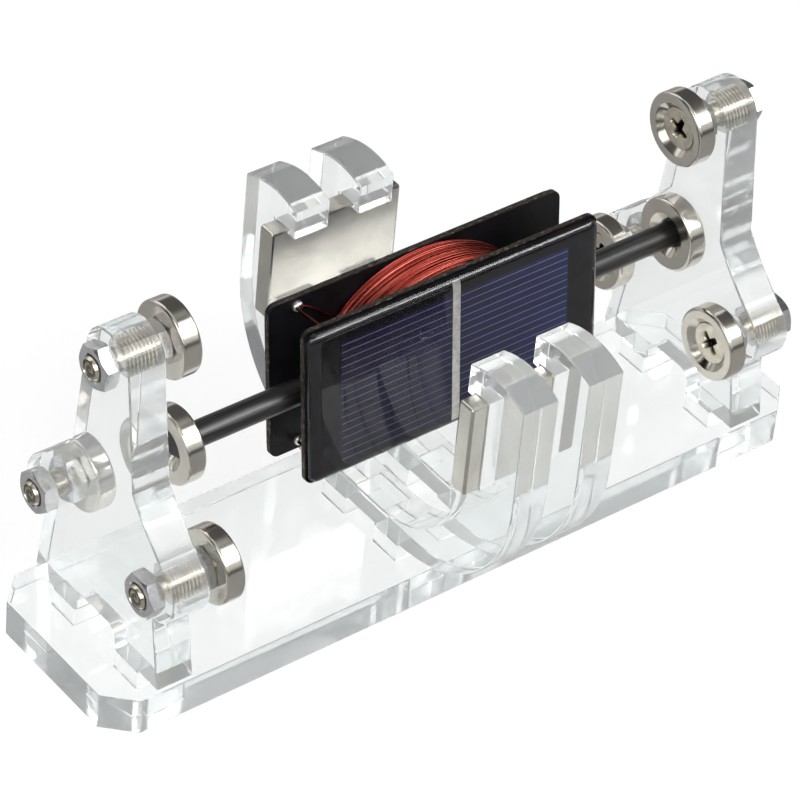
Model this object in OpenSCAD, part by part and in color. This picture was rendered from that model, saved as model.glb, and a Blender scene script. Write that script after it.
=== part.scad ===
// Levitating solar motor for demonstration.
// A shaft with two solar panels and a coil floats between ring magnets on two acrylic
// uprights, over a base plate that also carries two bar magnets in acrylic cradles.
// +X runs along the shaft, +Z is up, and the origin is under the middle of the base plate.

/* [Base plate] */
// Length of the base plate
base_l = 163; // [150:1:200]
// Width of the base plate
base_w = 40.5; // [40:0.5:60]
// Thickness of the base plate
base_t = 8; // [5:0.5:12]
// Length cut off each corner of the base plate
base_corner = 5.5; // [1:0.5:8]

/* [Uprights] */
// Distance from each end of the base plate to the outer face of the upright beside it
upright_inset = 9.3; // [8:0.1:14]
// Thickness of each upright
upright_t = 8; // [5:0.5:9]
// Height of the shaft above the base plate
shaft_h = 37; // [34:0.5:45]
// Radius of each rounded arm end
arm_r = 6.5; // [5.5:0.1:7]
// Height of the top arm's screw above the shaft
top_rise = 25.5; // [22:0.5:30]
// Drop of the two side arms' screws below the shaft
side_drop = 15; // [13:0.5:17]
// Distance of the side arms' screws from the middle plane
side_out = 16.5; // [15:0.5:18]
// Half width of the upright at its waist
waist_half = 9.4; // [8.5:0.1:11]
// Height of the waist above the shaft
waist_rise = 2; // [0:0.5:4]
// Half width of the upright where it stands on the base plate
foot_half = 19.5; // [19:0.1:20]
// Width of the arch under the upright
arch_w = 12; // [8:0.5:12]
// Height of the arch under the upright
arch_h = 4.5; // [3:0.5:8]
// Radius of the arch's upper corners
arch_r = 3; // [1:0.5:3]

/* [Tabs] */
// Width of the tabs that pass down through the base plate
tab_w = 7; // [4:0.5:7]
// Distance from the middle plane to the middle of an upright's tabs
tab_y = 10; // [9.5:0.1:15]
// Distance from the middle plane to the middle of a cradle's tabs
cradle_tab_y = 8; // [5:0.5:8]
// Gap around each tab in its slot
slot_gap = 0.1; // [0.05:0.05:0.3]

/* [Magnet cradles] */
// Distance between the two cradles
cradle_gap = 7; // [4:0.5:12]
// Thickness of each cradle
cradle_t = 8; // [5:0.5:10]
// Distance from the middle plane to the inner face of a bar magnet
bar_reach = 28; // [26:0.5:31]
// Height of the bar magnets' middle above the shaft
bar_rise = 1.5; // [0:0.1:3]
// Length of a bar magnet
bar_l = 30; // [28:1:50]
// Height of a bar magnet
bar_h = 20; // [16:0.5:24]
// Thickness of a bar magnet
bar_t = 4; // [3:0.5:6]
// Radius of a bar magnet's long edges
bar_round = 0.8; // [0.3:0.1:1.2]
// Gap between a bar magnet and its seat
bar_gap = 0.05; // [0.05:0.05:0.2]
// Thickness of the noses that reach over a bar magnet's inner face
nose_t = 2; // [1.5:0.1:4]
// Height of the nose over the top of a bar magnet's inner face
top_nose_h = 1.2; // [0.8:0.1:3]
// Height of the nose over the foot of a bar magnet's inner face
foot_nose_h = 3; // [1.5:0.1:4]
// Depth of acrylic behind a bar magnet
arm_back = 9.5; // [7:0.1:12]
// Height of the hook above a bar magnet
hook_h = 5; // [3:0.2:6]
// Fall of the hook's top from its nose to its outer edge
hook_fall = 0.8; // [0:0.1:2]
// Rise of the hook's domed top over a straight line
hook_crown = 1.8; // [0.5:0.1:3]
// Radius of the cradle's outer curve
cradle_outer_r = 30; // [24:1:34]
// Radius of the cradle's inner curve
cradle_inner_r = 20; // [14:1:21]
// Thickness of the cradle's floor over the base plate
cradle_floor = 5; // [4:0.5:6]

/* [Ring magnets] */
// Outer diameter of every ring magnet
ring_d = 15; // [13:0.5:16]
// Thickness of every ring magnet
ring_t = 4; // [3.5:0.5:5]
// Radius of a ring magnet's outer edges
ring_round = 0.6; // [0.2:0.1:0.8]
// Diameter of the countersink at a stand magnet's face
sink_d = 10.8; // [9.2:0.2:11]
// Diameter of the countersink at a rotor magnet's left face
rotor_sink_d = 9; // [7:0.2:11]

/* [Screws and nuts] */
// Diameter of the screws
screw_d = 5; // [3:0.5:5]
// Length of the screws
screw_l = 18; // [17:0.5:25]
// Diameter of the countersunk heads
head_d = 8.8; // [7:0.1:9]
// Height of the rim of a countersunk head
head_rim = 0.1; // [0.1:0.1:0.4]
// Width of a nut across its flats
nut_af = 8; // [7:0.5:9]
// Thickness of a nut
nut_t = 3.2; // [2.4:0.1:4]
// Radial gap around a screw in a plain hole
hole_gap = 0.15; // [0.1:0.05:0.4]
// Radial gap around a screw in a nut
thread_gap = 0.05; // [0.03:0.01:0.1]
// Gap between a screw head and its countersink, measured across the axis
sink_gap = 0.1; // [0.05:0.05:0.3]

/* [Shaft] */
// Diameter of the shaft
shaft_d = 5; // [4:0.1:5.2]
// Length of the shaft's pointed tip
tip_l = 3; // [1.5:0.5:5]
// Diameter of the flat at the end of the tip
tip_d = 0.8; // [0.4:0.1:1.5]
// Gap between the tip and the right upright
tip_gap = 0.2; // [0.1:0.05:0.4]
// Depth of the shaft's blunt end below the left rotor magnet's face
end_depth = 1.4; // [0.5:0.1:3]
// Distance that the rotor sits to the right of the middle, leaning on its tip
rotor_push = 2; // [0:0.1:2.2]
// Gap between a rotor magnet and the upright beside it, with the rotor in the middle
magnet_gap = 3.6; // [2.8:0.1:6]
// Turn of the rotor about the shaft
rotor_turn = -7; // [-180:1:180]
// Radial gap between the shaft and what is pressed on it
press_gap = 0.05; // [0.02:0.01:0.1]

/* [Solar panels] */
// Length of a solar panel
panel_l = 68; // [64:1:76]
// Height of a solar panel
panel_h = 33; // [32.5:0.5:38]
// Radius of a solar panel's corners
panel_corner = 2; // [1:0.5:4]
// Thickness of a panel's circuit board
board_t = 1.2; // [0.8:0.1:1.6]
// Thickness of the clear resin over the cell
cover_t = 1.7; // [1.4:0.1:2.4]
// Margin of board left bare around the resin
cover_margin = 0.4; // [0.2:0.1:1]
// Radius of the resin's front edge
cover_round = 1.2; // [0.6:0.1:1.4]
// Distance between the inner faces of the two circuit boards
board_gap = 9.5; // [9.4:0.1:11]
// Length of the solar cell
cell_l = 53; // [40:1:56]
// Height of the solar cell
cell_h = 28; // [22:1:28]
// Thickness of the solar cell
cell_t = 0.3; // [0.2:0.1:0.4]
// Width of the ribbon down the middle of the cell
ribbon_w = 1.8; // [1:0.1:3]
// Length of the ribbon
ribbon_l = 30; // [28.5:0.5:31]
// Thickness of the ribbon
ribbon_t = 0.2; // [0.1:0.05:0.3]

/* [Coil] */
// Length of the coil along the shaft
coil_l = 46; // [42:1:50]
// Height of the coil across the shaft
coil_h = 34; // [32:0.5:36]
// Diameter of the coil's wire
wire_d = 0.55; // [0.4:0.05:0.6]
// Distance from one turn of a layer to the next
turn_pitch = 1; // [0.98:0.01:1.02]
// Number of turns in each of the four layers
layer_turns = 6; // [3:1:6]
// Gap between the outer layers and the circuit boards
coil_gap = 0.35; // [0.3:0.05:0.6]
// Gap between the inner layers and the shaft
coil_shaft_gap = 0.35; // [0.3:0.05:0.5]
// Distance of the inner layers from the middle plane, above and below the shaft
inner_layer_y = 1.3; // [0.8:0.1:1.6]
// Gap between the core and the innermost turn
core_gap = 0.4; // [0.3:0.1:1]

/* [Solder joints] */
// Distance from the middle of a panel to its solder joints, along the shaft
solder_x = 27.5; // [27:0.5:29]
// Height of the solder joints from the middle of a panel
solder_z = 14.6; // [13:0.1:15]
// Length of a solder joint
solder_l = 2.4; // [2:0.1:3]
// Height of a solder joint's footprint
solder_w = 2.2; // [1.6:0.1:2.6]
// Thickness of a solder joint
solder_t = 0.9; // [0.8:0.1:1.2]
// Diameter of the wires that link the two panels
link_d = 0.8; // [0.5:0.1:1]

/* [Hidden] */

LEFT = -1;
RIGHT = 1;
FRONT = -1;
BACK = 1;
ROUND = 64;       // facets of a full circle that stays an exact curve
ARC_STEPS = 12;   // straight steps in an outline's arc
CUT = 1;          // how far a cutting shape runs past what it cuts

shaft_z = base_t + shaft_h;
inner_x = base_l / 2 - upright_inset - upright_t;      // inner face of an upright
ring_back_x = inner_x - nut_t;                         // back face of a stand magnet
ring_face_x = ring_back_x - ring_t;                    // countersunk face of a stand magnet
rotor_ring_x = inner_x - magnet_gap - ring_t;          // inner face of a rotor magnet
bar_z = shaft_z + bar_rise;
head_top_x = ring_face_x + (sink_d - head_d) / 2 - sink_gap - head_rim;
arm_places = [[0, shaft_z + top_rise], [-side_out, shaft_z - side_drop], [side_out, shaft_z - side_drop]];
TOP = 0;
FRONT_ARM = 1;
BACK_ARM = 2;

clear_acrylic = [0.80, 0.88, 0.86, 0.45];
nickel = [0.70, 0.67, 0.62];
zinc = [0.75, 0.75, 0.74];
board_black = [0.05, 0.05, 0.06];
cell_blue = [0.08, 0.08, 0.20];
copper_red = [0.62, 0.18, 0.10];

// Points of an arc about a centre, from one angle to another
function arc(centre, r, from, to, steps = ARC_STEPS) =
    [for (i = [0:steps]) let(a = from + (to - from) * i / steps) centre + r * [cos(a), sin(a)]];
// Points of a quadratic curve, without its first point
function bend(p, q, r, steps = ARC_STEPS) =
    [for (i = [1:steps]) let(u = i / steps) (1 - u) * (1 - u) * p + 2 * u * (1 - u) * q + u * u * r];
function mirrored(points) = [for (i = [len(points) - 1:-1:0]) [-points[i][0], points[i][1]]];
function unit(v) = v / norm(v);

// Lays an outline drawn in (y, z) into a plate that starts at x and is t thick
module plate_yz(x, t) {
    translate([x, 0, 0]) rotate([90, 0, 90]) linear_extrude(t) children();
}

// ---------- base plate ----------

module slots(x, t, y) {
    for (side = [FRONT, BACK])
        translate([x - slot_gap, side * y - tab_w / 2 - slot_gap, -CUT])
            cube([t + 2 * slot_gap, tab_w + 2 * slot_gap, base_t + 2 * CUT]);
}

module base_plate() {
    l = base_l / 2;
    w = base_w / 2;
    c = base_corner;
    color(clear_acrylic) difference() {
        linear_extrude(base_t)
            polygon([[-l, -w + c], [-l + c, -w], [l - c, -w], [l, -w + c],
                     [l, w - c], [l - c, w], [-l + c, w], [-l, w - c]]);
        slots(inner_x, upright_t, tab_y);
        slots(-inner_x - upright_t, upright_t, tab_y);
        slots(cradle_gap / 2, cradle_t, cradle_tab_y);
        slots(-cradle_gap / 2 - cradle_t, cradle_t, cradle_tab_y);
    }
}

// ---------- uprights ----------

SIDE_ARM_TOP = 50;      // angle where the waist's curve joins the side arm
SIDE_ARM_FOOT = -85;    // angle where the side arm meets the leg
WAIST_PULL = 9;         // how far the waist's curve is drawn along the side arm's tangent

function upright_side() =
    let(top = [0, shaft_z + top_rise],
        side = [side_out, shaft_z - side_drop],
        waist = [waist_half, shaft_z + waist_rise],
        to_waist = waist - top,
        tangent = atan2(to_waist[1], to_waist[0]) + acos(arm_r / norm(to_waist)),
        joint = side + arm_r * [cos(SIDE_ARM_TOP), sin(SIDE_ARM_TOP)],
        pull = joint + WAIST_PULL * [-sin(SIDE_ARM_TOP), cos(SIDE_ARM_TOP)],
        arch = [arch_w / 2 - arch_r, base_t + arch_h - arch_r])
    concat(
        arc(top, arm_r, 90, tangent),
        [waist],
        bend(waist, pull, joint),
        arc(side, arm_r, SIDE_ARM_TOP, SIDE_ARM_FOOT),
        [[foot_half, base_t], [tab_y + tab_w / 2, base_t], [tab_y + tab_w / 2, 0],
         [tab_y - tab_w / 2, 0], [tab_y - tab_w / 2, base_t], [arch_w / 2, base_t]],
        arc(arch, arch_r, 0, 90)
    );

module upright(x) {
    side = upright_side();
    color(clear_acrylic) difference() {
        plate_yz(x, upright_t) polygon(concat(side, mirrored([for (i = [1:len(side) - 1]) side[i]])));
        for (p = arm_places)
            translate([x - CUT, p[0], p[1]]) rotate([0, 90, 0])
                cylinder(d = screw_d + 2 * hole_gap, h = upright_t + 2 * CUT, $fn = ROUND);
    }
}

module left_upright() upright(-inner_x - upright_t);
module right_upright() upright(inner_x);

// ---------- cradles and bar magnets ----------

function cradle_side() =
    let(tip_y = bar_reach - nose_t,
        seat_in = bar_reach - bar_gap,
        seat_out = bar_reach + bar_t + bar_gap,
        out_y = seat_out + arm_back,
        seat_top = bar_z + bar_h / 2 + bar_gap,
        seat_foot = bar_z - bar_h / 2 - bar_gap,
        tip = [tip_y, seat_top + hook_h],
        corner = [out_y, tip[1] - hook_fall],
        crown = (tip + corner) / 2 + [0, 2 * hook_crown],
        outer = [out_y - cradle_outer_r, base_t + cradle_outer_r],
        inner = [tip_y - cradle_inner_r, base_t + cradle_floor + cradle_inner_r],
        tab_in = cradle_tab_y - tab_w / 2,
        tab_out = cradle_tab_y + tab_w / 2)
    concat(
        [[tab_in, base_t], [tab_in, 0], [tab_out, 0], [tab_out, base_t]],
        arc(outer, cradle_outer_r, -90, 0, 2 * ARC_STEPS),
        [corner],
        bend(corner, crown, tip),
        [[tip_y, seat_top - top_nose_h], [seat_in, seat_top - top_nose_h], [seat_in, seat_top],
         [seat_out, seat_top], [seat_out, seat_foot], [seat_in, seat_foot],
         [seat_in, seat_foot + foot_nose_h], [tip_y, seat_foot + foot_nose_h]],
        arc(inner, cradle_inner_r, 0, -90, 2 * ARC_STEPS)
    );

module cradle(x) {
    side = cradle_side();
    color(clear_acrylic) plate_yz(x, cradle_t) polygon(concat(side, mirrored(side)));
}

module left_cradle() cradle(-cradle_gap / 2 - cradle_t);
module right_cradle() cradle(cradle_gap / 2);

module rounded_rect(w, h, r) {
    polygon([for (q = [0:3]) each
        arc([(w / 2 - r) * (q == 0 || q == 3 ? 1 : -1), (h / 2 - r) * (q < 2 ? 1 : -1)],
            r, 90 * q, 90 * q + 90, 6)]);
}

module bar_magnet(side) {
    color(nickel) translate([0, side * (bar_reach + bar_t / 2), bar_z])
        plate_yz(-bar_l / 2, bar_l) rounded_rect(bar_t, bar_h, bar_round);
}

module front_bar_magnet() bar_magnet(FRONT);
module back_bar_magnet() bar_magnet(BACK);

// ---------- stand magnets, screws and nuts ----------

// Places a child drawn along +X, with its origin on the middle plane, at one arm of one upright
module at_arm(end, arm) {
    translate([0, arm_places[arm][0], arm_places[arm][1]]) mirror([end == LEFT ? 1 : 0, 0, 0]) children();
}

// Turns a profile of (radius, distance along +X) round the X axis
module spun_x() {
    rotate([0, 90, 0]) rotate_extrude($fn = ROUND) children();
}

function ring_outline(bore, x) = concat(
    [[bore, x]],
    arc([ring_d / 2 - ring_round, x + ring_round], ring_round, -90, 0, 6),
    arc([ring_d / 2 - ring_round, x + ring_t - ring_round], ring_round, 0, 90, 6),
    [[bore, x + ring_t]]
);

// A ring magnet from x towards +X, with a countersink of radius sink in its face at x
module ring_magnet(bore, sink, x) {
    color(nickel) difference() {
        spun_x() polygon(ring_outline(bore, x));
        spun_x() polygon([[bore - CUT, x - CUT], [sink + CUT, x - CUT],
                          [bore, x + sink - bore], [bore - CUT, x + sink - bore]]);
    }
}

module stand_magnet(end, arm) {
    at_arm(end, arm) ring_magnet(screw_d / 2 + hole_gap, sink_d / 2, ring_face_x);
}

module left_top_magnet() stand_magnet(LEFT, TOP);
module left_front_magnet() stand_magnet(LEFT, FRONT_ARM);
module left_back_magnet() stand_magnet(LEFT, BACK_ARM);
module right_top_magnet() stand_magnet(RIGHT, TOP);
module right_front_magnet() stand_magnet(RIGHT, FRONT_ARM);
module right_back_magnet() stand_magnet(RIGHT, BACK_ARM);

SCREW_CHAMFER = 0.5;    // chamfer at a screw's end

module screws(end) {
    cone_x = head_top_x + head_rim;
    end_x = head_top_x + screw_l;
    color(zinc) for (arm = [TOP, FRONT_ARM, BACK_ARM]) at_arm(end, arm)
        spun_x() polygon([
            [0, head_top_x], [head_d / 2, head_top_x], [head_d / 2, cone_x],
            [screw_d / 2, cone_x + (head_d - screw_d) / 2], [screw_d / 2, end_x - SCREW_CHAMFER],
            [screw_d / 2 - SCREW_CHAMFER, end_x], [0, end_x]]);
}

module left_screws() screws(LEFT);
module right_screws() screws(RIGHT);

NUT_BEVEL = 30;         // angle of a nut's bevelled corners

module nuts(end, x) {
    corner = nut_af / 2 / cos(30);
    drop = (corner - nut_af / 2) * tan(NUT_BEVEL);
    color(zinc) for (arm = [TOP, FRONT_ARM, BACK_ARM]) at_arm(end, arm) difference() {
        intersection() {
            translate([x, 0, 0]) rotate([0, 90, 0]) cylinder(d = 2 * corner, h = nut_t, $fn = 6);
            spun_x() polygon([[0, x], [nut_af / 2, x], [corner, x + drop],
                              [corner, x + nut_t - drop], [nut_af / 2, x + nut_t], [0, x + nut_t]]);
        }
        translate([x - CUT, 0, 0]) rotate([0, 90, 0])
            cylinder(d = screw_d + 2 * thread_gap, h = nut_t + 2 * CUT, $fn = ROUND);
    }
}

module left_inner_nuts() nuts(LEFT, ring_back_x);
module left_outer_nuts() nuts(LEFT, inner_x + upright_t);
module right_inner_nuts() nuts(RIGHT, ring_back_x);
module right_outer_nuts() nuts(RIGHT, inner_x + upright_t);

// ---------- rotor: shaft and magnets ----------

// The rotor's own frame: the origin is on the shaft's axis at the middle of the panels
module on_rotor() {
    translate([rotor_push, 0, shaft_z]) rotate([rotor_turn, 0, 0]) children();
}

SHAFT_CHAMFER = 0.4;    // chamfer at the shaft's blunt end

module shaft() {
    start = -rotor_ring_x - ring_t + end_depth;
    end = inner_x - tip_gap - rotor_push;
    r = shaft_d / 2;
    color("dimgray") on_rotor() spun_x() polygon([
        [0, start], [r - SHAFT_CHAMFER, start], [r, start + SHAFT_CHAMFER],
        [r, end - tip_l], [tip_d / 2, end], [0, end]]);
}

module rotor_magnet(x) {
    on_rotor() ring_magnet(shaft_d / 2 + press_gap, rotor_sink_d / 2, x);
}

module left_rotor_magnet() rotor_magnet(-rotor_ring_x - ring_t);
module right_rotor_magnet() rotor_magnet(rotor_ring_x);

// ---------- rotor: solar panels ----------

// Draws a child of one panel with +Z pointing outwards from the inner face of its board
module on_panel(side) {
    on_rotor() translate([0, side * board_gap / 2, 0]) rotate([side == FRONT ? 90 : -90, 0, 0]) children();
}

module board(side) {
    color(board_black) on_panel(side) linear_extrude(board_t) rounded_rect(panel_l, panel_h, panel_corner);
}

module front_board() board(FRONT);
module back_board() board(BACK);

module cell(side) {
    color(cell_blue) on_panel(side) translate([-cell_l / 2, -cell_h / 2, board_t])
        cube([cell_l, cell_h, cell_t]);
}

module front_cell() cell(FRONT);
module back_cell() cell(BACK);

module ribbon(side) {
    color("silver") on_panel(side) translate([-ribbon_w / 2, -ribbon_l / 2, board_t + cell_t])
        cube([ribbon_w, ribbon_l, ribbon_t]);
}

module front_ribbon() ribbon(FRONT);
module back_ribbon() ribbon(BACK);

EDGE_STEPS = 4;         // straight steps in the resin's rounded front edge
POCKET_GAP = 0.05;      // room between the resin and the cell and ribbon that it covers

// Side view of the resin: flat against the board, with rounded front edges
function cover_side(w) = concat(
    [[-w / 2, -CUT], [w / 2, -CUT]],
    arc([w / 2 - cover_round, cover_t - cover_round], cover_round, 0, 90, EDGE_STEPS),
    arc([cover_round - w / 2, cover_t - cover_round], cover_round, 90, 180, EDGE_STEPS)
);

module cover(side) {
    l = panel_l - 2 * cover_margin;
    h = panel_h - 2 * cover_margin;
    room = 2 * POCKET_GAP;
    color([0.2, 0.2, 0.25, 0.4]) on_panel(side) translate([0, 0, board_t]) difference() {
        intersection() {
            linear_extrude(cover_t) rounded_rect(l, h, panel_corner);
            plate_yz(-l / 2 - CUT, l + 2 * CUT) polygon(cover_side(h));
            rotate([0, 0, 90]) plate_yz(-h / 2 - CUT, h + 2 * CUT) polygon(cover_side(l));
        }
        translate([-cell_l / 2 - POCKET_GAP, -cell_h / 2 - POCKET_GAP, -CUT])
            cube([cell_l + room, cell_h + room, CUT + cell_t + POCKET_GAP]);
        translate([-ribbon_w / 2 - POCKET_GAP, -ribbon_l / 2 - POCKET_GAP, -CUT])
            cube([ribbon_w + room, ribbon_l + room, CUT + cell_t + ribbon_t + POCKET_GAP]);
    }
}

module front_cover() cover(FRONT);
module back_cover() cover(BACK);

module solder(side) {
    color("gainsboro") on_rotor() for (level = [-1, 1])
        translate([-solder_x - solder_l / 2, side * (board_gap - solder_t) / 2 - solder_t / 2,
                   level * solder_z - solder_w / 2])
            cube([solder_l, solder_t, solder_w]);
}

module front_solder() solder(FRONT);
module back_solder() solder(BACK);

module link_wires() {
    length = board_gap - 2 * solder_t;
    color(copper_red) on_rotor() for (level = [-1, 1])
        translate([-solder_x - solder_l / 4, length / 2, level * solder_z]) rotate([90, 0, 0])
            cylinder(d = link_d, h = length, $fn = ROUND);
}

// ---------- rotor: coil ----------
// One wire wound in four layers: each layer spirals in or out, and the wire climbs to the
// next layer in the half turn where the spiral reverses. The layers part around the shaft.

COIL_LAYERS = 4;
RINGS_PER_TURN = 24;
WIRE_SIDES = 6;
COIL_START = 250;       // angle where the wire joins the coil
COIL_END = 140;         // angle where the wire leaves the coil
PART_HEIGHT = 7;        // height above the shaft within which the layers part
LEAD_STEPS = 10;
LEAD_PULL = 5;          // length of the leads' end tangents

outer_layer_y = board_gap / 2 - coil_gap - wire_d / 2;
shaft_layer_y = shaft_d / 2 + coil_shaft_gap + wire_d / 2;
coil_turns = COIL_LAYERS * layer_turns - (COIL_START - COIL_END) / 360;

// How far the wire has moved in from the coil's outside after t turns
function coil_inset(t) =
    let(u = t - 2 * layer_turns * floor(t / (2 * layer_turns)))
    turn_pitch * (u < layer_turns ? u : 2 * layer_turns - u);
// Layer number after t turns, which climbs smoothly within a quarter turn of each reversal
function coil_layer(t) =
    let(k = round(t / layer_turns),
        s = min(max(2 * (t - k * layer_turns) + 0.5, 0), 1))
    k < 1 ? 0 : k >= COIL_LAYERS ? COIL_LAYERS - 1 : k - 1 + s * s * (3 - 2 * s);
// Distance of layer n from the middle plane, where the inner pair of layers is at inner_y
function layer_y(n, inner_y) =
    lookup(n, [[0, -outer_layer_y], [1, -inner_y], [2, inner_y], [3, outer_layer_y]]);
function coil_point(t) =
    let(a = COIL_START + 360 * t,
        inset = coil_inset(t) + wire_d / 2,
        z = (coil_h / 2 - inset) * sin(a),
        parting = exp(-pow(z / PART_HEIGHT, 4)),
        inner_y = inner_layer_y + (shaft_layer_y - inner_layer_y) * parting)
    [(coil_l / 2 - inset) * cos(a), layer_y(coil_layer(t), inner_y), z];
function curve3(p, q, r, s, u) =
    pow(1 - u, 3) * p + 3 * u * pow(1 - u, 2) * q + 3 * u * u * (1 - u) * r + pow(u, 3) * s;
// Points of a lead that runs straight out of its solder joint and bends into the coil
function lead(joint, coil_end, heading) =
    let(straight = joint + [1.5 * wire_d, 0, 0])
    concat([joint, joint + [wire_d, 0, 0]],
           [for (i = [0:LEAD_STEPS - 1]) curve3(straight, straight + [LEAD_PULL, 0, 0],
               coil_end + LEAD_PULL * heading, coil_end, i / LEAD_STEPS)]);
function reversed(list) = [for (i = [len(list) - 1:-1:0]) list[i]];

function coil_path() =
    let(rings = floor(coil_turns * RINGS_PER_TURN),
        turns = [for (i = [0:rings]) coil_point(coil_turns * i / rings)],
        edge_x = -solder_x + solder_l / 2,
        joint_y = (board_gap - solder_t) / 2)
    concat(
        lead([edge_x, -joint_y, -solder_z], turns[0], unit(turns[0] - turns[1])),
        turns,
        reversed(lead([edge_x, joint_y, solder_z], turns[rings], unit(turns[rings] - turns[rings - 1]))));

function path_heading(path, i) =
    i < 2 ? [1, 0, 0] : i > len(path) - 3 ? [-1, 0, 0] : unit(path[i + 1] - path[i - 1]);
function wire_ring(path, i) =
    let(h = path_heading(path, i),
        n = unit(cross([0, 1, 0], h)),
        b = cross(h, n))
    [for (k = [0:WIRE_SIDES - 1]) let(a = 360 * k / WIRE_SIDES)
        path[i] + wire_d / 2 * (cos(a) * n + sin(a) * b)];

// A closed tube of triangles along a path
module wire(path) {
    n = WIRE_SIDES;
    last = len(path) - 1;
    points = [for (i = [0:last]) each wire_ring(path, i)];
    sides = [for (i = [0:last - 1]) for (k = [0:n - 1])
        let(a = n * i + k, b = n * i + (k + 1) % n)
        each [[a, a + n, b], [b, a + n, b + n]]];
    start = [for (k = [1:n - 2]) [0, k, k + 1]];
    finish = [for (k = [1:n - 2]) [n * last, n * last + k + 1, n * last + k]];
    polyhedron(points, concat(sides, start, finish));
}

wire_path = coil_path();
// Least gap between stretches of the wire that are more than half a turn apart
wire_self_gap = min([for (i = [0:len(wire_path) - 1]) for (j = [i + RINGS_PER_TURN / 2:len(wire_path) - 1])
    norm(wire_path[i] - wire_path[j])]) - wire_d;
wire_length = [for (i = 1, s = 0; i <= len(wire_path); s = s + (i < len(wire_path)
    ? norm(wire_path[i] - wire_path[i - 1]) : 0), i = i + 1) s];

module coil() {
    echo(coil_least_self_gap_mm = wire_self_gap, coil_wire_length_mm = wire_length[len(wire_length) - 1]);
    color(copper_red) on_rotor() wire(wire_path);
}

// The core fills the coil, grips the shaft and carries the two boards on its flat faces
module coil_core() {
    inset = layer_turns * turn_pitch + wire_d + core_gap;
    half_l = coil_l / 2 - inset;
    half_h = coil_h / 2 - inset;
    color("dimgray") on_rotor() difference() {
        translate([0, board_gap / 2, 0]) rotate([90, 0, 0]) linear_extrude(board_gap)
            polygon([for (a = [0:6:354]) [half_l * cos(a), half_h * sin(a)]]);
        translate([-half_l - CUT, 0, 0]) rotate([0, 90, 0])
            cylinder(d = shaft_d + 2 * press_gap, h = 2 * (half_l + CUT), $fn = ROUND);
    }
}

base_plate();
left_upright();
right_upright();
left_cradle();
right_cradle();
front_bar_magnet();
back_bar_magnet();
left_top_magnet();
left_front_magnet();
left_back_magnet();
right_top_magnet();
right_front_magnet();
right_back_magnet();
left_screws();
right_screws();
left_inner_nuts();
left_outer_nuts();
right_inner_nuts();
right_outer_nuts();
shaft();
left_rotor_magnet();
right_rotor_magnet();
coil_core();
coil();
front_board();
back_board();
front_cell();
back_cell();
front_ribbon();
back_ribbon();
front_cover();
back_cover();
front_solder();
back_solder();
link_wires();
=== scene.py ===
import math

import bmesh
import bpy
import numpy as np
from mathutils import Matrix, Vector


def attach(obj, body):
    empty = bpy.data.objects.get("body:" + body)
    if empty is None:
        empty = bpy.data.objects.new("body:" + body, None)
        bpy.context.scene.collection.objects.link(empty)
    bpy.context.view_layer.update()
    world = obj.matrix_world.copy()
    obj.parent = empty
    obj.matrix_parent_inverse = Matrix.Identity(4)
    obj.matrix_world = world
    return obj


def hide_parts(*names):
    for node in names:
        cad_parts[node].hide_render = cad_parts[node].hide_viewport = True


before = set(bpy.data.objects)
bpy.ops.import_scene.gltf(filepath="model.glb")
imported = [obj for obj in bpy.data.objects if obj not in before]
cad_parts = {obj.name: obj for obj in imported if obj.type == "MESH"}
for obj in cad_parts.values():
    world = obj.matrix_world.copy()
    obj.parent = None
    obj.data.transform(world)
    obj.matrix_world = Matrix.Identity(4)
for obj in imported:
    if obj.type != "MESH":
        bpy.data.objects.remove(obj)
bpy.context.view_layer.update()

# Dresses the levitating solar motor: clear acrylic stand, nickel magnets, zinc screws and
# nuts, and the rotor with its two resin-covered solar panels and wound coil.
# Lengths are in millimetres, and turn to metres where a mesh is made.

MM = 0.001
LEFT, RIGHT = -1, 1
FRONT, BACK = -1, 1
TURN = 2 * math.pi

# ---------- sizes that the pieces share with the frame ----------

BASE_L, BASE_W, BASE_T, BASE_CORNER = 163.0, 40.5, 8.0, 5.5
INNER_X, SHEET_T = 64.2, 8.0
SHAFT_Z = 45.0
ARM_R = 6.5
TOP_ARM, FRONT_ARM, BACK_ARM = (0.0, 70.5), (-16.5, 30.0), (16.5, 30.0)
ARMS = (TOP_ARM, FRONT_ARM, BACK_ARM)
WAIST, WAIST_PULL, JOINT_ANGLE, SIDE_ARM_END = (9.4, 47.0), 9.0, 50.0, -85.0
UPRIGHT_FOOT_Y, ARCH_Y, ARCH_Z, ARCH_R = 19.5, 6.0, 9.5, 3.0
TAB_W, TAB_Y, CRADLE_TAB_Y, SLOT_GAP, SLOT_ROUND = 7.0, 10.0, 8.0, 0.1, 0.15
AIR = 0.04  # kept between an acrylic sheet and what it touches
SHEET_ROUND = 0.3
CRADLE_IN = 3.5
BAR_L, BAR_H, BAR_T, BAR_Y, BAR_GAP = 30.0, 20.0, 4.0, 28.0, 0.05
BAR_RISE, BAR_CORNER, BAR_ROUND = 1.5, 0.6, 0.5
BAR_Z = SHAFT_Z + BAR_RISE
NOSE_T, TOP_NOSE, FOOT_NOSE, ARM_BACK = 2.0, 1.2, 3.0, 9.5
HOOK_H, HOOK_FALL, HOOK_CROWN = 5.0, 0.8, 1.8
CRADLE_OUTER_R, CRADLE_INNER_R, CRADLE_FLOOR = 30.0, 20.0, 5.0
RING_D, RING_T, RING_ROUND, SINK_D, ROTOR_SINK_D = 15.0, 4.0, 0.6, 10.8, 9.0
SCREW_D, SCREW_L, HEAD_D, HEAD_X, PITCH = 5.0, 18.0, 8.4, 58.0, 0.8
NUT_AF, NUT_T = 8.0, 3.2
HOLE_GAP, NUT_GAP = 0.15, 0.05
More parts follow.
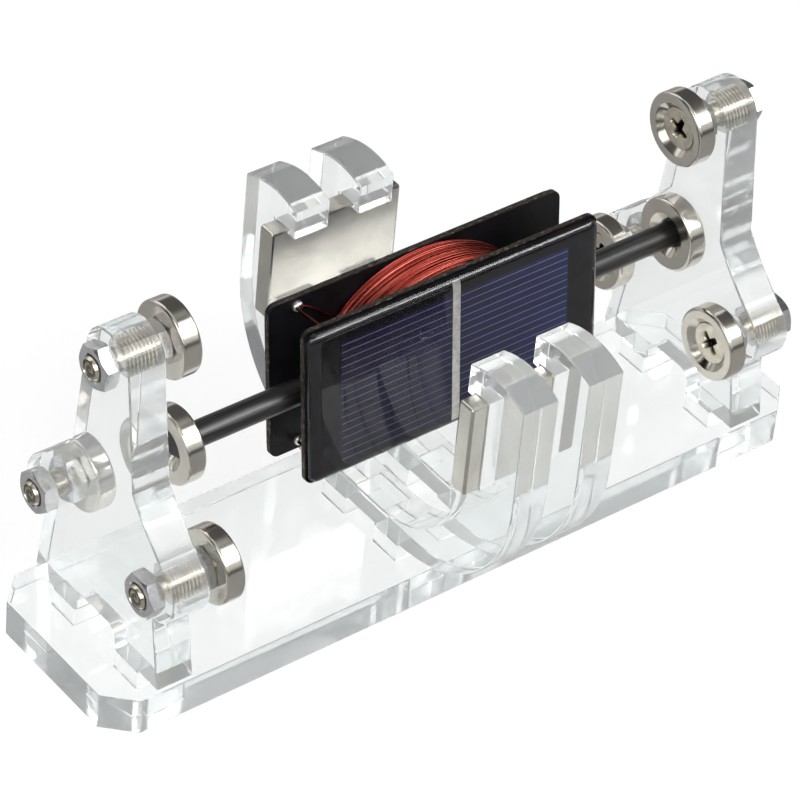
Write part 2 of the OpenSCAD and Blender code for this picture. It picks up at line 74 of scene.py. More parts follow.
SHAFT_D, TIP_L, TIP_D, TIP_GAP, END_DEPTH, PRESS_GAP = 5.0, 3.0, 0.8, 0.2, 1.4, 0.05
ROTOR_X, ROTOR_TURN, MAGNET_GAP = 2.0, math.radians(-7), 3.6
ROTOR_RING_X = INNER_X - MAGNET_GAP - RING_T
PANEL_L, PANEL_H, PANEL_CORNER = 68.0, 33.0, 2.0
BOARD_T, BOARD_IN, BOARD_ROUND = 1.2, 4.75, 0.12
COVER_T, COVER_MARGIN, COVER_ROUND_IN, COVER_ROUND_OUT = 1.7, 0.4, 2.2, 1.5
CELL_L, CELL_H, CELL_T = 53.0, 28.0, 0.3
FINGERS, FINGER_PITCH, FINGERS_Z = 17, 1.55, -0.9
RIBBON_W, RIBBON_L, RIBBON_T = 1.8, 30.0, 0.2
COIL_L, COIL_H = 46.0, 34.0
SOLDER_X, SOLDER_Z, SOLDER_L, SOLDER_W, SOLDER_T = 27.5, 14.6, 2.4, 2.2, 0.9
LINK_D = 0.6

# ---------- outlines ----------


def arc(centre, r, start, end, steps=24):
    """Points on a circle about centre, from one angle to the other in equal steps (degrees)."""
    a = np.radians(np.linspace(start, end, steps + 1))
    return np.column_stack([centre[0] + r * np.cos(a), centre[1] + r * np.sin(a)])


def bend(p, q, r, steps=24):
    """Quadratic curve from p to r drawn towards q, without its first point."""
    u = np.linspace(0, 1, steps + 1)[1:, None]
    return (1 - u) ** 2 * np.array(p) + 2 * u * (1 - u) * np.array(q) + u**2 * np.array(r)


def path(*parts):
    """One list of points from points and runs of points."""
    return np.vstack([np.atleast_2d(p) for p in parts])


def both_sides(side):
    """A closed outline from its right half, mirrored in the line y = 0."""
    mirror = side[::-1] * [-1, 1]
    return np.vstack([side, mirror[np.abs(mirror[:, 0]) > 1e-9]])


def rounded_rect(w, h, r, steps=10):
    """Rectangle about the origin with round corners."""
    x, y = w / 2 - r, h / 2 - r
    return path(arc((x, y), r, 0, 90, steps), arc((-x, y), r, 90, 180, steps),
                arc((-x, -y), r, 180, 270, steps), arc((x, -y), r, 270, 360, steps))


def upright_outline():
    """Right half of an upright in (y, z): top arm, waist, side arm, foot, tab and arch."""
    top, side, waist = np.array(TOP_ARM), np.array(BACK_ARM), np.array(WAIST)
    to_waist = waist - top
    tangent = math.degrees(math.atan2(to_waist[1], to_waist[0])
                           + math.acos(ARM_R / np.linalg.norm(to_waist)))
    joint_angle = math.radians(JOINT_ANGLE)
    joint = side + ARM_R * np.array([math.cos(joint_angle), math.sin(joint_angle)])
    pull = joint + WAIST_PULL * np.array([-math.sin(joint_angle), math.cos(joint_angle)])
    tab_in, tab_out = TAB_Y - TAB_W / 2, TAB_Y + TAB_W / 2
    foot = BASE_T + AIR
    return path(arc(top, ARM_R, 90, tangent), waist, bend(waist, pull, joint),
                arc(side, ARM_R, JOINT_ANGLE, SIDE_ARM_END)[1:], (UPRIGHT_FOOT_Y, foot),
                (tab_out, foot), (tab_out, 0), (tab_in, 0), (tab_in, foot),
                (ARCH_Y, foot), arc((ARCH_Y - ARCH_R, ARCH_Z), ARCH_R, 0, 90))


def cradle_outline():
    """Right half of a cradle in (y, z): tab, outer curve, hook over the magnet, inner curve."""
    tip_y, seat_in, seat_out = BAR_Y - NOSE_T, BAR_Y - BAR_GAP, BAR_Y + BAR_T + BAR_GAP
    seat_top, seat_foot = BAR_Z + BAR_H / 2 + BAR_GAP, BAR_Z - BAR_H / 2 - BAR_GAP
    tip = np.array([tip_y, seat_top + HOOK_H])
    corner = np.array([seat_out + ARM_BACK, tip[1] - HOOK_FALL])
    crown = (tip + corner) / 2 + [0, 2 * HOOK_CROWN]
    foot = BASE_T + AIR
    outer = (corner[0] - CRADLE_OUTER_R, foot + CRADLE_OUTER_R)
    inner = (tip_y - CRADLE_INNER_R, BASE_T + CRADLE_FLOOR + CRADLE_INNER_R)
    tab_in, tab_out = CRADLE_TAB_Y - TAB_W / 2, CRADLE_TAB_Y + TAB_W / 2
    return path((tab_in, foot), (tab_in, 0), (tab_out, 0), (tab_out, foot),
                arc(outer, CRADLE_OUTER_R, -90, 0, 40), corner, bend(corner, crown, tip),
                (tip_y, seat_top - TOP_NOSE), (seat_in, seat_top - TOP_NOSE), (seat_in, seat_top),
                (seat_out, seat_top), (seat_out, seat_foot), (seat_in, seat_foot),
                (seat_in, seat_foot + FOOT_NOSE), (tip_y, seat_foot + FOOT_NOSE),
                arc(inner, CRADLE_INNER_R, 0, -90, 40))


# ---------- meshes ----------


def clean(mesh, sharp_angle=None, merge=2e-6):
    """Merges doubled points, points the faces outwards and marks the sharp edges."""
    shell = bmesh.new()
    shell.from_mesh(mesh)
    bmesh.ops.remove_doubles(shell, verts=shell.verts, dist=merge)
    bmesh.ops.dissolve_degenerate(shell, edges=shell.edges, dist=merge / 2)
    bmesh.ops.recalc_face_normals(shell, faces=shell.faces)
    shell.to_mesh(mesh)
    shell.free()
    mesh.shade_smooth()
    if sharp_angle is not None:
        mesh.set_sharp_from_angle(angle=math.radians(sharp_angle))
    return mesh


def grid_mesh(name, grid, wrap_rows=False, wrap_cols=True):
    """A mesh of quads over a grid of points, shape (rows, columns, 3), in metres."""
    rows, cols = grid.shape[:2]
    r = np.arange(rows if wrap_rows else rows - 1)[:, None]
    c = np.arange(cols if wrap_cols else cols - 1)[None, :]
    r2, c2 = (r + 1) % rows, (c + 1) % cols
    quads = np.stack([r * cols + c, r * cols + c2, r2 * cols + c2, r2 * cols + c], -1)
    quads = quads.reshape(-1, 4)
    mesh = bpy.data.meshes.new(name)
    mesh.vertices.add(rows * cols)
    mesh.vertices.foreach_set("co", grid.reshape(-1).astype(np.float32))
    mesh.loops.add(quads.size)
    mesh.loops.foreach_set("vertex_index", quads.ravel().astype(np.int32))
    mesh.polygons.add(len(quads))
    mesh.polygons.foreach_set("loop_start", np.arange(0, quads.size, 4, dtype=np.int32))
    mesh.update(calc_edges=True)
    return mesh


def carry(mesh, name, values):
    """Gives every point of a mesh a number that its material reads by name."""
    numbers = mesh.attributes.new(name, "FLOAT", "POINT")
    numbers.data.foreach_set("value", values.ravel().astype(np.float32))


def joined(name, meshes):
    """One mesh from several."""
    shell = bmesh.new()
    for m in meshes:
        shell.from_mesh(m)
    whole = bpy.data.meshes.new(name)
    shell.to_mesh(whole)
    shell.free()
    for m in meshes:
        bpy.data.meshes.remove(m)
    whole.shade_smooth()
    return whole


def flat_piece(name, loops, thickness, edge):
    """A flat sheet from closed outlines in (u, v), the first the outside and the others holes.
    Its thickness runs along the third axis about zero, and its edges are rounded by edge."""
    curve = bpy.data.curves.new(name, "CURVE")
    curve.dimensions, curve.fill_mode = "2D", "BOTH"
    curve.extrude = (thickness / 2 - edge) * MM
    curve.bevel_depth, curve.bevel_resolution, curve.offset = edge * MM, 1, -edge * MM
    for loop in loops:
        spline = curve.splines.new("POLY")
        spline.points.add(len(loop) - 1)
        spline.points.foreach_set("co", np.column_stack(
            [loop * MM, np.zeros(len(loop)), np.ones(len(loop))]).ravel())
        spline.use_cyclic_u = True
    holder = bpy.data.objects.new(name, curve)
    bpy.context.scene.collection.objects.link(holder)
    evaluated = holder.evaluated_get(bpy.context.evaluated_depsgraph_get())
    mesh = bpy.data.meshes.new_from_object(evaluated)
    bpy.data.objects.remove(holder)
    bpy.data.curves.remove(curve)
    return mesh


# Turns from a sheet drawn in (u, v) to where its plane lies in the frame
IN_YZ = Matrix(((0, 0, 1, 0), (1, 0, 0, 0), (0, 1, 0, 0), (0, 0, 0, 1)))
IN_XZ = Matrix(((1, 0, 0, 0), (0, 0, -1, 0), (0, 1, 0, 0), (0, 0, 0, 1)))


def moved(x=0, y=0, z=0):
    """A shift in millimetres."""
    return Matrix.Translation((x * MM, y * MM, z * MM))


ON_ROTOR = moved(ROTOR_X, 0, SHAFT_Z) @ Matrix.Rotation(ROTOR_TURN, 4, "X")


def spun(name, profile, steps=96, wrap=False):
    """A profile of (radius, x) turned about the X axis: (x, r cos a, r sin a)."""
    a = np.linspace(0, TURN, steps, endpoint=False)
    r, x = profile[:, 0:1], profile[:, 1:2]
    grid = np.stack([np.broadcast_to(x, (len(profile), steps)), r * np.cos(a), r * np.sin(a)], -1)
    return grid_mesh(name, grid * MM, wrap_rows=wrap)


def tube_grid(points, radius, sides):
    """Rings of points about a line: centre + radius (cos a n + sin a b), n and b square to it."""
    heading = np.gradient(points, axis=0)
    heading /= np.linalg.norm(heading, axis=1, keepdims=True)
    n = np.cross([0, 1, 0], heading)
    n /= np.maximum(np.linalg.norm(n, axis=1, keepdims=True), 1e-9)
    b = np.cross(heading, n)
    a = np.linspace(0, TURN, sides, endpoint=False)[None, :, None]
    return points[:, None] + radius * (np.cos(a) * n[:, None] + np.sin(a) * b[:, None])


def closed_tube(name, points, radius, sides):
    """A tube along points (mm) whose ends close in a point."""
    radii = np.broadcast_to(radius, len(points)).copy()
    grid = tube_grid(points, radii[:, None, None], sides)
    ends = [np.repeat(points[i][None, None], sides, 1) for i in (0, -1)]
    return grid_mesh(name, np.concatenate([ends[0], grid, ends[1]]) * MM)


def piece(name, mesh, place, body, finish, nodes=(), sharp=20, casts=True):
    """Puts a mesh in place and gives it its finish, its body and the nodes that it stands for.
    Edges sharper than an angle stay hard, and clear pieces cast no shadow."""
    mesh.transform(place)
    clean(mesh, sharp)
    obj = bpy.data.objects.new(name, mesh)
    bpy.context.scene.collection.objects.link(obj)
    mesh.materials.clear()
    mesh.materials.append(finish)
    obj.visible_shadow = casts
    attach(obj, body)
    if nodes:
        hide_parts(*nodes)
    return obj


# ---------- finishes ----------


class Finish:
    """A material with one Principled shader, and short ways to wire patterns into it."""

    def __init__(self, name, place=None, **sockets):
        self.material = bpy.data.materials.new(name)
        self.material.use_nodes = True
        self.nodes, self.links = self.material.node_tree.nodes, self.material.node_tree.links
        self.nodes.clear()
        self.shader = self.nodes.new("ShaderNodeBsdfPrincipled")
        self.output = self.nodes.new("ShaderNodeOutputMaterial")
        self.links.new(self.shader.outputs["BSDF"], self.output.inputs["Surface"])
        self.coords = self.nodes.new("ShaderNodeTexCoord").outputs["Object"]
        if place is not None:
            centre, turn = place
            mapping = self.nodes.new("ShaderNodeMapping")
            mapping.vector_type = "TEXTURE"
            mapping.inputs["Location"].default_value = centre
            mapping.inputs["Rotation"].default_value = turn
            self.links.new(self.coords, mapping.inputs["Vector"])
            self.coords = mapping.outputs["Vector"]
        for key, value in sockets.items():
            self.shader.inputs[key.replace("_", " ")].default_value = value

    def stretched(self, x, y, z):
        """The piece's coordinates, stretched along its axes."""
        mapping = self.nodes.new("ShaderNodeMapping")
        mapping.inputs["Scale"].default_value = (x, y, z)
        self.links.new(self.coords, mapping.inputs["Vector"])
        return mapping.outputs["Vector"]

    def noise(self, per_metre, detail=3.0, rough=0.5, coords=None):
        """Cloudy noise from 0 to 1."""
        node = self.nodes.new("ShaderNodeTexNoise")
        node.inputs["Scale"].default_value = per_metre
        node.inputs["Detail"].default_value = detail
        node.inputs["Roughness"].default_value = rough
        self.links.new(self.coords if coords is None else coords, node.inputs["Vector"])
        return node.outputs["Fac"]

    def ramp(self, source, stops):
        """A colour from a number, by stops of (position, colour)."""
        node = self.nodes.new("ShaderNodeValToRGB")
        line = node.color_ramp
        while len(line.elements) < len(stops):
            line.elements.new(0.5)
        for element, (at, colour) in zip(line.elements, stops):
            element.position = at
            element.color = (*colour, 1)
        self.links.new(source, node.inputs["Fac"])
        return node.outputs["Color"]

    def spread(self, source, low, high, start=0.0, end=1.0):
        """A number mapped from start..end to low..high."""
        node = self.nodes.new("ShaderNodeMapRange")
        for key, value in (("From Min", start), ("From Max", end),
                           ("To Min", low), ("To Max", high)):
            node.inputs[key].default_value = value
        self.links.new(source, node.inputs["Value"])
        return node.outputs["Result"]

    def maths(self, what, a, b=0.0):
        """One arithmetic step."""
        node = self.nodes.new("ShaderNodeMath")
        node.operation = what
        for socket, value in zip(node.inputs, (a, b)):
            if isinstance(value, (int, float)):
                socket.default_value = value
            else:
                self.links.new(value, socket)
        return node.outputs["Value"]

    def mixed(self, share, a, b):
        """Colour a where share is 0 and b where it is 1."""
        node = self.nodes.new("ShaderNodeMix")
        node.data_type = "RGBA"
        self.links.new(share, node.inputs["Factor"])
        for key, value in (("A", a), ("B", b)):
            socket = [s for s in node.inputs if s.name == key and s.type == "RGBA"][0]
            if isinstance(value, tuple):
                socket.default_value = (*value, 1)
            else:
                self.links.new(value, socket)
        return [s for s in node.outputs if s.type == "RGBA"][0]

    def axis(self, name):
        """One of the piece's coordinates."""
        node = self.nodes.new("ShaderNodeSeparateXYZ")
        self.links.new(self.coords, node.inputs["Vector"])
        return node.outputs[name]

    def attribute(self, name):
        """A number that the mesh carries."""
        node = self.nodes.new("ShaderNodeAttribute")
        node.attribute_name = name
        return node.outputs["Fac"]

    def bumps(self, height, depth_mm, strength=1.0):
        """Raises the surface by a number times depth."""
        node = self.nodes.new("ShaderNodeBump")
        node.inputs["Distance"].default_value = depth_mm * MM
        node.inputs["Strength"].default_value = strength
        self.links.new(height, node.inputs["Height"])
        self.links.new(node.outputs["Normal"], self.shader.inputs["Normal"])

    def set(self, socket, source):
        """Drives one of the shader's inputs."""
        self.links.new(source, self.shader.inputs[socket])


ROTOR_PLACE = ((ROTOR_X * MM, 0, SHAFT_Z * MM), (ROTOR_TURN, 0, 0))


def acrylic(name, polish_axis):
    """Clear cast acrylic: faint waves in the faces, fine saw lines along the cut edges."""
    f = Finish(name, IOR=1.49, Transmission_Weight=0.87, Base_Color=(0.965, 0.98, 0.978, 1))
    lines = [3000.0, 3000.0, 3000.0]
    lines["xyz".index(polish_axis)] = 40.0
    cut_lines = f.noise(1.0, 2.0, 0.5, f.stretched(*lines))
    waves = f.noise(45.0, 1.0, 0.3)
    f.set("Roughness", f.spread(f.noise(60.0, 4.0), 0.0, 0.04, 0.45, 0.75))
    f.bumps(f.maths("ADD", f.maths("MULTIPLY", cut_lines, 0.05), waves), 0.02)
    volume = f.nodes.new("ShaderNodeVolumeAbsorption")
    volume.inputs["Color"].default_value = (0.70, 0.82, 0.82, 1)
    volume.inputs["Density"].default_value = 5.0
    f.links.new(volume.outputs["Volume"], f.output.inputs["Volume"])
    return f.material


def nickel(name, tint, rough, stain):
    """Bright nickel plating with faint stains and hairline scratches."""
    f = Finish(name, Metallic=1.0)
    dull = tuple(0.72 * c for c in tint)
    stains = f.spread(f.noise(110.0, 4.0, 0.6), 0.0, stain, 0.35, 0.75)
    f.set("Base Color", f.mixed(stains, tint, dull))
    f.set("Roughness", f.spread(f.noise(300.0, 3.0), rough, rough + 0.05, 0.3, 0.8))
    f.bumps(f.noise(1.0, 3.0, 0.6, f.stretched(300, 900, 4000)), 0.004, 0.5)
    return f.material


def zinc(name, thin, thick):
    """Bright zinc plating from its thin to its thick tone, with painted shade darkening it in the
    recesses, thread roots and end groove.
    """
    f = Finish(name, Metallic=1.0)
    plating = f.ramp(f.noise(500.0, 4.0), [(0.3, thin), (0.7, thick)])
    # painted shade: numbers the mesh carries turn the plating towards near black in the recess,
    # thread roots and end groove
    dark = f.spread(f.attribute("painted_shade"), 0.0, 0.96, 0.15, 0.7)
    f.set("Base Color", f.mixed(dark, plating, (0.02, 0.018, 0.016)))
    f.set("Roughness", f.spread(f.noise(900.0, 3.0), 0.12, 0.28, 0.3, 0.7))
    f.bumps(f.noise(2500.0, 2.0), 0.01, 0.4)
    return f.material


def dark_rod():
    """Satin dark rod with fine lines drawn along it."""
    f = Finish("dark_rod", Metallic=0.75)
    drawn = f.noise(1.0, 3.0, 0.6, f.stretched(60, 2500, 2500))
    f.set("Base Color", f.ramp(drawn, [(0.3, (0.035, 0.034, 0.035)),
                                       (0.7, (0.085, 0.083, 0.082))]))
    f.set("Roughness", f.spread(drawn, 0.28, 0.42, 0.3, 0.7))
    f.bumps(drawn, 0.01, 0.5)
    return f.material


def core_plastic():
    """Dark plastic with a fine matt grain."""
    f = Finish("core_plastic")
    grain = f.noise(1800.0, 3.0)
    f.set("Base Color", f.ramp(grain, [(0.3, (0.02, 0.02, 0.02)), (0.7, (0.05, 0.05, 0.05))]))
    f.set("Roughness", f.spread(grain, 0.45, 0.6))
    f.bumps(grain, 0.02)
    return f.material


def copper(name, shades):
    """Enamelled copper wire whose colour shifts along its length."""
    f = Finish(name, Metallic=1.0)
    along = f.nodes.new("ShaderNodeTexNoise")
    along.noise_dimensions = "1D"
    along.inputs["Scale"].default_value = 1.0
    along.inputs["Detail"].default_value = 3.0
    f.links.new(f.attribute("along"), along.inputs["W"])
    f.set("Base Color", f.ramp(along.outputs["Fac"], list(zip((0.25, 0.5, 0.75), shades))))
    f.set("Roughness", f.spread(f.noise(700.0), 0.18, 0.30))
    return f.material


def tinned(name):
    """Tinned metal, bright with dull patches."""
    f = Finish(name, place=ROTOR_PLACE, Metallic=1.0)
    f.set("Base Color", f.ramp(f.noise(900.0, 4.0), [(0.3, (0.55, 0.53, 0.49)),
                                                     (0.7, (0.80, 0.78, 0.73))]))
    f.set("Roughness", f.spread(f.noise(1500.0), 0.22, 0.4))
    f.bumps(f.noise(1200.0, 3.0), 0.03)
    return f.material


def circuit_board():
    """Black solder mask on the faces, without gloss under the resin, and brown laminate with pale
    fibres at the cut edge, whose pale flecks are also a painted highlight along the edges."""
    f = Finish("circuit_board", place=ROTOR_PLACE)
    f.set("Specular IOR Level", f.spread(f.maths("ABSOLUTE", f.axis("Y")), 0.18, 0.0,
                                         (BOARD_IN + 0.8) * MM, (BOARD_IN + BOARD_T - 0.1) * MM))
    cuts = [f.spread(f.maths("ABSOLUTE", f.axis(axis)), 0, 1, (half - 0.15) * MM,
                     (half - 0.05) * MM)
            for axis, half in (("X", PANEL_L / 2), ("Z", PANEL_H / 2))]
    weave = f.noise(1.0, 3.0, 0.6, f.stretched(900, 4000, 900))
    # brown laminate with pale flecks: partly real fibres, partly a painted highlight along the cut
    # edges
    laminate_and_edge_highlight = f.ramp(weave, [(0.35, (0.010, 0.008, 0.007)), (0.60, (0.05, 0.04, 0.032)),
                              (0.72, (0.34, 0.31, 0.27))])
    mask = f.ramp(f.noise(300.0), [(0.3, (0.004, 0.004, 0.005)), (0.7, (0.010, 0.009, 0.011))])
    f.set("Base Color", f.mixed(f.maths("MAXIMUM", *cuts), mask, laminate_and_edge_highlight))
    f.set("Roughness", f.spread(f.noise(800.0), 0.3, 0.4))
    return f.material


def solar_cell():
    """Dark silicon with a painted reflection that turns it lighter and bluer to the right, thin
    printed finger lines and a black margin above them."""
    f = Finish("solar_cell", place=ROTOR_PLACE, Specular_IOR_Level=0.04)
    crystals = f.noise(1.0, 4.0, 0.6, f.stretched(120, 120, 900))
    dark = f.ramp(crystals, [(0.3, (0.004, 0.0035, 0.011)), (0.7, (0.010, 0.008, 0.028))])
    # painted reflection: a lighter, bluer silicon that takes over from left to right across the
    # cell
    painted_reflection_blue = f.ramp(crystals, [(0.3, (0.008, 0.011, 0.045)), (0.7, (0.016, 0.022, 0.095))])
    silicon = f.mixed(f.spread(f.axis("X"), 0.0, 1.0, -20 * MM, 30 * MM), dark, painted_reflection_blue)
    across = f.maths("SUBTRACT", f.axis("Z"), FINGERS_Z * MM)
    field = FINGERS / 2 * FINGER_PITCH
    margin = f.spread(across, 0.0, 1.0, (field - 0.1) * MM, (field + 0.1) * MM)
    silicon = f.mixed(margin, silicon, (0.004, 0.004, 0.005))
    row = f.maths("ADD", f.maths("DIVIDE", across, FINGER_PITCH * MM), 0.5)
    off_line = f.maths("ABSOLUTE", f.maths("SUBTRACT", f.maths("FRACT", row), 0.5))
    printed = f.spread(off_line, 1.0, 0.0, 0.02, 0.065)
    inside = f.spread(f.maths("ABSOLUTE", f.axis("X")), 1.0, 0.0,
                      (CELL_L / 2 - 0.3) * MM, (CELL_L / 2 - 0.1) * MM)
    below = f.maths("SUBTRACT", 1.0, margin)
    line = f.maths("MULTIPLY", f.maths("MULTIPLY", printed, inside), below)
    f.set("Base Color", f.mixed(line, silicon, (0.17, 0.16, 0.24)))
    f.set("Roughness", f.spread(f.noise(500.0), 0.3, 0.5))
    f.bumps(line, 0.015)
    return f.material


def resin():
    """Clear glossy casting resin, a little duller in places."""
    f = Finish("clear_resin", place=ROTOR_PLACE, IOR=1.52, Specular_IOR_Level=0.38,
               Transmission_Weight=1.0, Base_Color=(0.93, 0.93, 0.95, 1))
    f.set("Roughness", f.spread(f.noise(200.0, 2.0), 0.0, 0.012, 0.4, 0.8))
    return f.material


clear_sheet_yz = acrylic("clear_acrylic_upright", "x")
clear_sheet_xy = acrylic("clear_acrylic_base", "z")
ring_nickel = nickel("ring_nickel", (0.66, 0.625, 0.555), 0.14, 0.6)
bar_nickel = nickel("bar_nickel", (0.66, 0.635, 0.575), 0.22, 0.7)
screw_zinc = zinc("yellow_zinc", (0.56, 0.51, 0.42), (0.74, 0.69, 0.58))
nut_zinc = zinc("bright_zinc", (0.62, 0.63, 0.65), (0.78, 0.78, 0.78))
tin = tinned("tinned_metal")

# ---------- acrylic stand ----------


def slot(x, y):
    """A tab's slot in the base plate, in (x, y)."""
    length, width = SHEET_T + 2 * SLOT_GAP, TAB_W + 2 * SLOT_GAP
    return np.array([x, y]) + rounded_rect(length, width, SLOT_ROUND, 3)


def build_stand():
    """Base plate with its slots, two uprights and two cradles, with air between them and what they
    touch. The screws fill the uprights' holes, so that their threads show through the acrylic."""
    l, w, c = BASE_L / 2, BASE_W / 2, BASE_CORNER
    outside = np.array([[-l, -w + c], [-l + c, -w], [l - c, -w], [l, -w + c],
                        [l, w - c], [l - c, w], [-l + c, w], [-l, w - c]])
    upright_x, cradle_x = INNER_X + SHEET_T / 2, CRADLE_IN + SHEET_T / 2
    thickness = SHEET_T - 2 * AIR
    slots = [slot(end * x, side * y) for end in (LEFT, RIGHT) for side in (FRONT, BACK)
             for x, y in ((upright_x, TAB_Y), (cradle_x, CRADLE_TAB_Y))]
    piece("acrylic_base", flat_piece("base", [outside, *slots], BASE_T, SHEET_ROUND),
          moved(z=BASE_T / 2), "stand", clear_sheet_xy, ["base_plate"], casts=False)
    for end, side in ((LEFT, "left"), (RIGHT, "right")):
        piece(f"acrylic_{side}_upright",
              flat_piece("upright", [both_sides(upright_outline())], thickness, SHEET_ROUND),
              moved(x=end * upright_x) @ IN_YZ, "stand", clear_sheet_yz,
              [f"{side}_upright"], casts=False)
        piece(f"acrylic_{side}_cradle",
              flat_piece("cradle", [both_sides(cradle_outline())], thickness, SHEET_ROUND),
              moved(x=end * cradle_x) @ IN_YZ, "stand", clear_sheet_yz,
              [f"{side}_cradle"], casts=False)


# ---------- magnets ----------


def ring_profile(bore, sink):
    """Closed (radius, x) profile of a ring magnet about x = 0, countersunk to radius sink at -x.
    A point just past either end of each rounded edge keeps the flat faces flat."""
    half, r, k, past = RING_T / 2, RING_D / 2, RING_ROUND, 0.08
    back = path((r, half - k - past), arc((r - k, half - k), k, 0, 90, 8), (r - k - past, half))
    front = path((r - k - past, -half), arc((r - k, -half + k), k, -90, 0, 8),
                 (r, -half + k + past))
    mouth = [(bore + 0.05, half), (bore, half - 0.05)]
    cone = [(bore, -half + sink - bore), (sink - 0.1, -half + 0.12), (sink + 0.08, -half)]
    return np.vstack([front, back, mouth, cone])


def build_magnets():
    """Six ring magnets on the stand, two on the rotor and the two bar magnets."""
    ring_x = INNER_X - NUT_T - RING_T / 2
    for end, side in ((LEFT, "left"), (RIGHT, "right")):
        for (y, z), arm in zip(ARMS, ("top", "front", "back")):
            mesh = spun("ring", ring_profile(SCREW_D / 2 + HOLE_GAP, SINK_D / 2), wrap=True)
            place = moved(end * ring_x, y, z) @ Matrix.Diagonal((end, 1, 1, 1))
            piece(f"ring_magnet_{side}_{arm}", mesh, place, "stand", ring_nickel,
                  [f"{side}_{arm}_magnet"])
        mesh = spun("ring", ring_profile(SHAFT_D / 2 + PRESS_GAP, ROTOR_SINK_D / 2), wrap=True)
        place = ON_ROTOR @ moved(end * (ROTOR_RING_X + RING_T / 2))
        piece(f"ring_magnet_{side}_rotor", mesh, place, "rotor", ring_nickel,
              [f"{side}_rotor_magnet"])
    for side, word in ((FRONT, "front"), (BACK, "back")):
        mesh = flat_piece("bar", [rounded_rect(BAR_L, BAR_H, BAR_CORNER, 5)], BAR_T, BAR_ROUND)
        place = moved(y=side * (BAR_Y + BAR_T / 2), z=BAR_Z) @ IN_XZ
        piece(f"bar_magnet_{word}", mesh, place, "stand", bar_nickel,
              [f"{word}_bar_magnet"])


# ---------- screws and nuts ----------


RECESS, CROSS_HALF, CROSS_TAPER, CROSS_WALL = 1.7, 0.80, 0.10, 0.25
CROSS_REACH, CROSS_END = 2.45, 0.7
THREAD_DEPTH, END_GROOVE = 0.40, 0.25
SCREW_TURNS = {"left": (0.2, 0.5, 0.9), "right": (0.35, 0.75, 0.1)}


def cross_recess(y, z):
    """Depth of a cross recess: 1 inside either arm of the cross, falling to 0 at its walls."""
    def arm(u, v):
        wall = np.clip((CROSS_HALF - CROSS_TAPER * np.abs(u) - np.abs(v)) / CROSS_WALL, 0, 1)
        end = np.clip((CROSS_REACH - np.abs(u)) / CROSS_END, 0, 1)
        return wall * end
    return np.maximum(arm(y, z), arm(z, y))


def screw_mesh(turn):
    """Countersunk screw along +x from its head's face: face with a cross recess, cone, then a
    thread whose radius is r0 - depth |2 frac(x / pitch - a) - 1|, and a turned end with a spiral
    groove of depth |sin((a + 5 r) / 2)|. Each point carries a painted shade that darkens the zinc
    in the cross recess, the thread roots and the end's groove."""
    steps = 112
    a = np.linspace(0, TURN, steps, endpoint=False)[None]
    face_r = np.linspace(0, HEAD_D / 2 - 0.12, 40)[:, None]
    y, z = face_r * np.cos(a), face_r * np.sin(a)
    face_x = RECESS * cross_recess(y, z)
    head_r, shank_r = HEAD_D / 2, SCREW_D / 2
    cone_end = 0.1 + head_r - shank_r
    thread_x = np.arange(cone_end + 0.3, SCREW_L - 0.5, PITCH / 9)
    tooth = np.abs(2 * np.mod(thread_x[:, None] / PITCH - a / TURN, 1) - 1)
    fade = np.clip((SCREW_L - 0.5 - thread_x) / 0.8, 0, 1)[:, None]
    cut = THREAD_DEPTH * np.clip(tooth * 1.25 - 0.12, 0, 1)
    thread_r = shank_r - 0.02 - cut * fade - 0.12 * (1 - fade)
    around = np.ones_like(a)
    end_r = np.linspace(shank_r - 0.6, 0, 12)[:, None]
    groove = np.abs(np.sin((a + 5 * end_r) / 2)) * np.clip(4 * end_r, 0, 1)
    radii = [face_r * around, head_r * around, head_r * around, shank_r * around, thread_r,
             (shank_r - 0.5) * around, end_r * around]
    xs = [face_x, 0.03 * around, 0.1 * around, cone_end * around, thread_x[:, None] * around,
          SCREW_L * around, SCREW_L - END_GROOVE * groove]
    r, x = np.vstack(radii), np.vstack(xs)
    b = a + turn
    mesh = grid_mesh("screw", np.stack([x, r * np.cos(b), r * np.sin(b)], -1) * MM)
    # painted shade, 0 to 1: full in the cross recess, up to half at the thread roots, 0.15 to 0.6
    # in the end's spiral groove
    painted_shade = np.zeros_like(x)
    painted_shade[:len(face_r)] = face_x / RECESS
    ends = len(end_r) + 1
    painted_shade[len(face_r) + 3:-ends] = 0.5 * np.clip(tooth, 0, 1)
    painted_shade[-len(end_r):] = 0.15 + 0.45 * groove
    carry(mesh, "painted_shade", painted_shade)
    return mesh


def nut_mesh(turn):
    """Hexagon nut along +x: radius af / 2 / cos of the angle from the nearest flat's middle, with
    both faces cut back by a 30 degree cone, round a plain bore with chamfered mouths."""
    steps = 144
    a = np.linspace(0, TURN, steps, endpoint=False)[None]
    hexagon = NUT_AF / 2 / np.cos(np.mod(a + math.pi / 6, math.pi / 3) - math.pi / 6)
    flat_r, bore = NUT_AF / 2 - 0.1, SCREW_D / 2 + NUT_GAP
    share = np.linspace(0, 1, 6)[:, None]
    face_r = flat_r + (hexagon - 0.08 - flat_r) * share
    face_x = np.maximum(face_r - flat_r, 0) * math.tan(math.radians(30))
    side_x = face_x[-1:] + 0.08
    bore_r = bore + 0.35 * np.array([[1.0], [0.0]])
    around = np.ones_like(a)
    r = np.vstack([bore_r[:1] * around, face_r, hexagon, hexagon, face_r[::-1],
                   bore_r[:1] * around, bore_r[1:] * around, bore_r[1:] * around])
    x = np.vstack([0 * around, face_x, side_x, NUT_T - side_x, NUT_T - face_x[::-1],
                   NUT_T * around, (NUT_T - 0.35) * around, 0.35 * around])
    b = a + turn
    return grid_mesh("nut", np.stack([x, r * np.cos(b), r * np.sin(b)], -1) * MM, wrap_rows=True)


